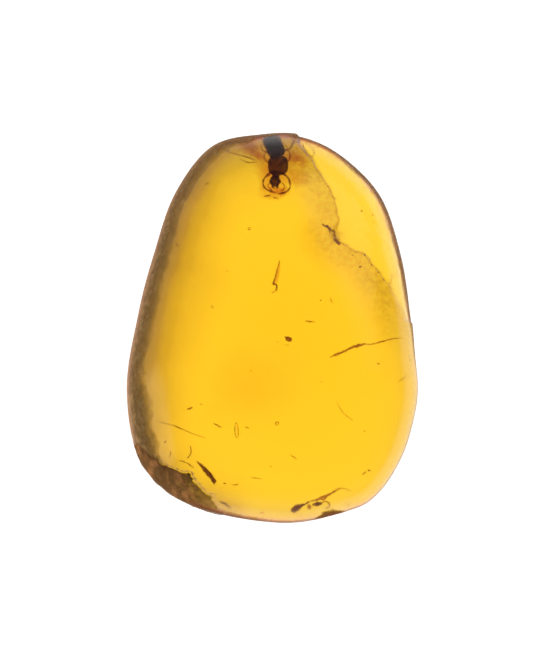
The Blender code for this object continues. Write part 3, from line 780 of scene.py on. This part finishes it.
wing_case_chitin = sealed_finish("wing_case_chitin", (0.5, 0.25, 0.12), (0.18, 0.08, 0.035), 0.5, 7, (1, 0.5, 1), bump=0.8)
thin_chitin = sealed_finish("thin_chitin", (0.72, 0.5, 0.3), (0.32, 0.19, 0.1), 0.5, 5, bump=0.6)
leg_chitin = sealed_finish("leg_chitin", (0.7, 0.42, 0.2), (0.36, 0.17, 0.07), 0.72, 5, bump=0.6)
clear_chitin = sealed_finish("clear_chitin", (0.9, 0.66, 0.36), (0.6, 0.34, 0.15), 0.86, 5, bump=0.6)
work = bmesh.new()
dark = set(add_round(work, leaned(0.44, 0.88, -0.12), (0.42, 0.6, 0.34), turn=REAR_LEAN, relief=abdomen_relief))
for side in (-1, 1):
    turn = REAR_LEAN - side * 1.5
    place = leaned(0.44 + side * 0.2, 0.92, 0.06)
    dark |= set(add_round(work, place, (0.31, 0.7, 0.38), 3.3, turn, 64, wing_case_relief))
    add_round(work, BEETLE_PLACE + Vector((0.05 + side * 0.26, -1.01, 0.03)), (0.1, 0.11, 0.12), relief=faceted)
    jaw = [(0.05 + side * 0.12, -1.18, -0.1), (0.05 + side * 0.15, -1.32, -0.1), (0.05 + side * 0.05, -1.44, -0.1)]
    add_tube(work, [BEETLE_PLACE + Vector(p) for p in jaw], (0.07, 0.06, 0.02))
add_round(work, leaned(0.42, 0.34, 0.3), (0.1, 0.12, 0.08))
add_round(work, BEETLE_PLACE + Vector((0.22, -0.1, 0)), (0.58, 0.55, 0.37), 2.9, 0, 56, pronotum_relief)
add_round(work, BEETLE_PLACE + Vector((0.09, -0.66, -0.03)), (0.22, 0.26, 0.2))
add_round(work, BEETLE_PLACE + Vector((0.05, -0.98, -0.05)), (0.31, 0.33, 0.26), 2.2, 0, 40)
parts = [dark, set(work.verts), set(), set()]
for limb, points in LIMBS.items():
    before = set(work.verts)
    feeler = "antenna" in limb
    radii = ANTENNA_RADII if feeler else FORELEG_RADII if "fore" in limb else LEG_RADII
    add_tube(work, [BEETLE_PLACE + Vector(p) for p in points], radii, 10, 12, joints=3 if feeler else 1)
    if not feeler:
        for side in (-1, 1):  # two claws
            end = BEETLE_PLACE + Vector(points[-1])
            run = Vector(points[-1]) - Vector(points[-2])
            hook = run.normalized() * 0.07 + Vector((-run.y, run.x, 0)).normalized() * 0.04 * side
            add_tube(work, [end, end + hook * 0.7, end + hook + Vector((0, 0, -0.02))], (0.015, 0.012, 0.006), 6, 3)
    parts[2 if "fore" in limb else 3] |= set(work.verts) - before
for face in work.faces:
    face.material_index = next(i for i, part in enumerate(parts) if face.verts[0] in part)
beetle = add_piece("beetle_body", closed_mesh("beetle_body", work), [wing_case_chitin, thin_chitin, leg_chitin, clear_chitin])
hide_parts("beetle")

# ------------------------------------------------------------------------------------------------------------------
# The wood splinter. A flat sliver of dark wood, split along its grain, sharp at one end and broken off at the other.

wood = sealed_finish("dark_wood", (0.6, 0.3, 0.12), (0.26, 0.1, 0.04), 0.7, 9, (1.0, 1.0, 1.0), bump=0.9)
work = bmesh.new()
points = [(-4.38, -7.94, 3.94), (-4.14, -8.18, 3.95), (-3.85, -8.48, 3.93), (-3.56, -8.78, 3.9), (-3.36, -9.02, 3.86)]
add_tube(work, points, (0.025, 0.07, 0.105, 0.12, 0.1), 16, 10, flatness=0.75, lumps=0.35, lumps_per_mm=7)
add_tube(work, [(-4.2, -8.02, 3.9), (-3.8, -8.4, 3.88), (-3.42, -8.84, 3.84)], (0.015, 0.035, 0.03), 10, 10, lumps=0.4, lumps_per_mm=8)
add_tube(work, [(-3.5, -8.98, 3.9), (-3.4, -9.12, 3.92), (-3.36, -9.18, 3.94)], (0.06, 0.03, 0.01), 8, 5)
splinter = add_piece("split_sliver", closed_mesh("split_sliver", work), [wood])
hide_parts("wood_splinter")

# ------------------------------------------------------------------------------------------------------------------
# The plant strand. A limp strand of plant fibre, broken in the middle, thick and dark where it is knotted and clear
# brown where it is thin.

fibre = sealed_finish("plant_fibre", (0.8, 0.58, 0.3), (0.4, 0.2, 0.08), 0.85, 8, bump=0.8)
work = bmesh.new()
points = [(3.42, -1.84, 3.86), (3.75, -1.66, 3.9), (4.1, -1.52, 3.93), (4.55, -1.32, 3.95), (4.95, -1.18, 3.96), (5.3, -1.06, 3.94)]
add_tube(work, points, (0.04, 0.032, 0.055, 0.045, 0.08, 0.03), 12, 14, lumps=0.8, lumps_per_mm=6)
points = [(5.1, -1.14, 3.93), (5.6, -1.1, 3.88), (6.1, -0.96, 3.88), (6.55, -0.82, 3.88), (7.06, -0.76, 3.86)]
add_tube(work, points, (0.015, 0.022, 0.04, 0.03, 0.012), 12, 14, lumps=0.7, lumps_per_mm=6)
add_tube(work, [(3.62, -1.8, 3.88), (3.9, -1.66, 3.86), (4.3, -1.5, 3.88)], (0.02, 0.035, 0.02), 8, 10, lumps=0.5)
add_tube(work, [(4.4, -1.34, 3.98), (4.7, -1.18, 4.0), (5.0, -1.12, 3.99)], (0.015, 0.03, 0.015), 8, 10, lumps=0.5)
strand = add_piece("broken_strand", closed_mesh("broken_strand", work), [fibre])
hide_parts("plant_strand")

# ------------------------------------------------------------------------------------------------------------------
# The scrap of bark. A crumbling thread of bark: a dark lump, an ochre one, and a thin tail that runs up to the right.

bark = sealed_finish("crumbling_bark", (0.6, 0.32, 0.12), (0.24, 0.09, 0.035), 0.68, 5, bump=1.0)
ochre_bark = sealed_finish("ochre_bark", (0.85, 0.6, 0.28), (0.5, 0.27, 0.09), 0.82, 5, bump=1.0)
work = bmesh.new()
points = [(1.2, -10.5, 3.94), (1.45, -10.4, 3.92), (1.68, -10.28, 3.9), (1.9, -10.2, 3.9), (2.12, -10.1, 3.92)]
lump = add_tube(work, points, (0.1, 0.13, 0.07, 0.035, 0.03), 16, 12, lumps=0.6, lumps_per_mm=5)
points = [(2.34, -10.22, 3.92), (2.55, -10.17, 3.91), (2.74, -10.13, 3.9), (2.86, -10.12, 3.9)]
lump |= add_tube(work, points, (0.04, 0.085, 0.08, 0.03), 14, 10, lumps=0.6, lumps_per_mm=6)
points = [(2.05, -10.1, 3.92), (2.35, -10.03, 3.91), (2.64, -9.96, 3.9), (3.0, -9.82, 3.9), (3.32, -9.64, 3.88), (3.68, -9.47, 3.88), (3.96, -9.36, 3.9)]
add_tube(work, points, (0.03, 0.035, 0.07, 0.09, 0.05, 0.045, 0.02), 14, 12, lumps=0.8, lumps_per_mm=6)
points = [(2.82, -10.1, 3.9), (3.1, -10.03, 3.91), (3.3, -10.14, 3.92), (3.22, -10.3, 3.93), (3.02, -10.36, 3.94)]
add_tube(work, points, (0.03, 0.035, 0.045, 0.04, 0.02), 10, 10, lumps=0.6)
add_round(work, (2.14, -10.32, 3.92), (0.11, 0.11, 0.09), segments=24, relief=lambda unit: 0.03 * noise.noise(unit * 3))
for face in work.faces:
    face.material_index = 0 if face.verts[0] in lump else 1
scrap = add_piece("crumbling_scrap", closed_mesh("crumbling_scrap", work), [bark, ochre_bark])
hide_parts("bark_scrap")

# ------------------------------------------------------------------------------------------------------------------
# The shed skin. A slip of cast insect skin, thin and nearly clear, with one brown rib down its side that ends in a
# small hook.

film = sealed_finish("cast_skin", (0.97, 0.9, 0.72), (0.85, 0.66, 0.4), 0.94, 6, bump=0.4)
rib = sealed_finish("skin_rib", (0.6, 0.34, 0.12), (0.28, 0.12, 0.04), 0.75, 9, bump=0.5)
work = bmesh.new()
points = [(0.46, 3.88, 3.9), (0.4, 3.5, 3.91), (0.3, 3.1, 3.92), (0.24, 2.75, 3.9), (0.26, 2.5, 3.89)]
thin = add_tube(work, points, (0.03, 0.1, 0.12, 0.1, 0.04), 14, 8, flatness=0.35, lumps=0.2)
points = [(0.44, 3.86, 3.93), (0.32, 3.4, 3.94), (0.2, 2.95, 3.93), (0.08, 2.6, 3.91), (0.14, 2.5, 3.9), (0.3, 2.44, 3.9), (0.27, 2.3, 3.89)]
add_tube(work, points, (0.02, 0.026, 0.03, 0.045, 0.04, 0.045, 0.035), 10, 10, lumps=0.5, lumps_per_mm=8)
add_tube(work, [(0.29, 2.34, 3.89), (0.24, 2.16, 3.88), (0.12, 2.08, 3.87), (0.0, 2.03, 3.87)], (0.035, 0.035, 0.025, 0.015), 10, 8, lumps=0.4, lumps_per_mm=8)
for face in work.faces:
    face.material_index = 0 if all(v in thin for v in face.verts) else 1
cast = add_piece("slip_of_skin", closed_mesh("slip_of_skin", work), [film, rib])
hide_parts("shed_skin")

# ------------------------------------------------------------------------------------------------------------------
# The seed husk. A small brown husk, split along one side, with the stub of its stalk.

husk = sealed_finish("seed_husk", (0.72, 0.45, 0.2), (0.36, 0.17, 0.07), 0.75, 9, bump=0.9)
work = bmesh.new()


def husk_relief(unit):
    ribs = 0.008 * math.cos(math.atan2(unit.y, unit.z) * 9)
    split = -0.04 * math.exp(-((unit.y - 0.35) ** 2) / 0.02) * max(unit.z, 0)
    return ribs + split + 0.012 * noise.noise(unit * 4)


add_round(work, (1.0, -0.75, 3.9), (0.22, 0.14, 0.13), 2.2, -22, 40, husk_relief)
add_tube(work, [(0.84, -0.66, 3.92), (0.78, -0.6, 3.93), (0.76, -0.56, 3.94)], (0.05, 0.03, 0.02), 10, 6, lumps=0.3)
shell = add_piece("split_husk", closed_mesh("split_husk", work), [husk])
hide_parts("seed_husk")

# ------------------------------------------------------------------------------------------------------------------
# Dust and hairs. Specks of dirt and hair-fine fibres, caught at all levels, each only a tenth of a millimetre or so
# thick. They are one piece, because nothing but the resin holds them. Two dark strands in the inner corner of the
# flake's ledge are painted shade, laid where the ledge shades that corner.

# Flecks: place, length, thickness and turn about Z in degrees.
FLECKS = [
    ((-4.85, -4.95, 5.2), 0.17, 0.05, 20), ((-4.2, -4.7, 5.3), 0.06, 0.035, 0), ((-3.26, -5.93, 4.9), 0.28, 0.035, -30),
    ((-1.5, -6.05, 4.8), 0.13, 0.03, -10), ((1.32, -7.75, 4.6), 0.22, 0.03, -35), ((-0.03, -8.3, 4.4), 0.06, 0.03, 0),
    ((-0.9, -8.95, 4.4), 0.3, 0.03, -8), ((-2.15, -9.25, 4.3), 0.2, 0.03, 5), ((-2.8, -9.2, 4.4), 0.07, 0.03, 0),
    ((-0.56, -10.64, 4.0), 0.12, 0.03, -5), ((-2.8, -10.64, 4.0), 0.05, 0.03, 0), ((2.26, 0.32, 4.6), 0.28, 0.045, -6),
    ((3.47, 1.59, 4.8), 0.2, 0.025, -65), ((5.1, 3.6, 5.2), 0.07, 0.055, 10), ((4.7, 4.3, 5.4), 0.05, 0.035, 0),
    ((6.7, 2.95, 4.6), 0.35, 0.02, 85), ((6.66, 2.55, 4.6), 0.05, 0.04, 0), ((7.0, 3.1, 4.4), 0.22, 0.02, -70),
    ((6.1, -2.3, 4.8), 0.06, 0.04, 0), ((7.6, -2.1, 4.3), 0.06, 0.045, 0), ((-1.27, -2.65, 5.0), 0.05, 0.03, 0),
    ((-3.68, 8.55, 4.6), 0.14, 0.03, 30), ((-0.27, 7.75, 4.2), 0.2, 0.05, 8), ((0.25, 7.62, 4.3), 0.16, 0.03, -10),
    ((5.25, -8.6, 4.3), 0.14, 0.035, 35), ((5.5, -8.45, 4.3), 0.06, 0.04, 0), ((5.65, -9.9, 4.0), 0.08, 0.025, 0),
    ((4.4, -10.1, 4.0), 0.1, 0.03, 12), ((-6.2, -6.9, 4.6), 0.08, 0.03, 60), ((-5.9, -7.6, 4.3), 0.22, 0.02, 80),
    ((5.3, 7.0, 5.6), 0.05, 0.04, 20), ((5.9, 6.75, 5.2), 0.05, 0.035, 60), ((5.9, 6.3, 5.1), 0.09, 0.015, 80),
    ((8.1, 0.58, 4.3), 0.09, 0.08, 70), ((8.1, 0.92, 4.3), 0.03, 0.04, 0), ((7.95, 1.65, 4.3), 0.03, 0.04, 0),
    ((8.3, -0.1, 4.2), 0.07, 0.035, -40), ((2.9, -3.3, 3.4), 0.05, 0.025, 0), ((-2.4, 3.3, 3.2), 0.05, 0.025, 0), ((-5.3, 4.9, 4.2), 0.16, 0.02, -60),
]
# Hairs: the points that each follows, and its thickness.
HAIRS = [
    ([(-6.6, -5.75, 4.9), (-5.7, -6.0, 4.9), (-4.85, -6.35, 4.8), (-3.95, -6.65, 4.7)], 0.02),
    ([(-3.03, -10.1, 4.1), (-2.75, -10.2, 4.1), (-2.38, -10.4, 4.0)], 0.05),
    ([(7.5, -3.0, 4.4), (7.25, -3.25, 4.4), (7.05, -3.4, 4.4)], 0.022),
    ([(3.8, -4.5, 4.8), (4.05, -5.0, 4.8), (4.35, -5.35, 4.7), (4.73, -5.65, 4.7)], 0.018),
    ([(3.7, -9.4, 4.1), (4.15, -9.36, 4.1), (4.6, -9.48, 4.1)], 0.02),
    ([(1.24, 11.0, 4.0), (1.26, 10.8, 4.0), (1.12, 10.55, 4.0)], 0.04),
    ([(1.72, 10.85, 4.1), (1.8, 10.5, 4.2), (2.02, 10.15, 4.2), (2.3, 10.0, 4.2)], 0.035),
    ([(1.9, 10.8, 4.1), (2.2, 10.6, 4.15), (2.36, 10.3, 4.2), (2.3, 10.05, 4.2)], 0.03),
    ([(-2.6, 10.3, 4.1), (-2.1, 10.15, 4.2), (-1.5, 10.0, 4.3), (-1.0, 9.8, 4.3)], 0.03),
    ([(-1.9, 9.9, 4.4), (-1.4, 9.7, 4.4), (-0.9, 9.72, 4.3)], 0.025),
    ([(-4.8, -7.1, 4.5), (-4.75, -7.5, 4.4), (-4.95, -7.8, 4.3)], 0.03),
    ([(-5.4, -7.9, 4.3), (-4.95, -8.05, 4.3), (-4.6, -8.3, 4.2)], 0.03),
    # Painted shade: these two dark strands lie in the inner corner of the flake's ledge, where the ledge shades it.
    ([(3.25, 6.1, 6.2), (3.5, 5.75, 6.2), (3.75, 5.3, 6.2), (4.0, 4.95, 6.15)], 0.1),
    ([(3.35, 6.05, 6.2), (3.15, 6.08, 6.25), (3.0, 6.2, 6.25)], 0.05),
    ([(3.55, 7.9, 6.0), (3.8, 7.75, 5.9)], 0.035),
    ([(3.75, 7.3, 6.0), (3.85, 6.95, 6.0)], 0.035),
]

dust_and_shade = sealed_finish("dust_and_shade", (0.75, 0.5, 0.24), (0.36, 0.18, 0.07), 0.8, 6, bump=0.5)
work = bmesh.new()
for (x, y, z), length, thickness, turn in FLECKS:
    run = Matrix.Rotation(math.radians(turn), 3, "Z") @ Vector((length, 0, 0))
    bend = Vector((-run.y, run.x, 0)) * 0.25 * noise.noise(Vector((x, y, z)) * 3)
    middle = Vector((x, y, z))
    add_tube(work, [middle - run, middle + bend, middle + run], (thickness * 0.5, thickness, thickness * 0.4), 8, 6, lumps=0.7, lumps_per_mm=9)
for points, thickness in HAIRS:
    radii = [thickness * (0.6 if i in (0, len(points) - 1) else 1) for i in range(len(points))]
    add_tube(work, points, radii, 8, 10, lumps=0.6, lumps_per_mm=5)
specks = add_piece("dust_hairs_and_shade", closed_mesh("dust_hairs_and_shade", work), [dust_and_shade])
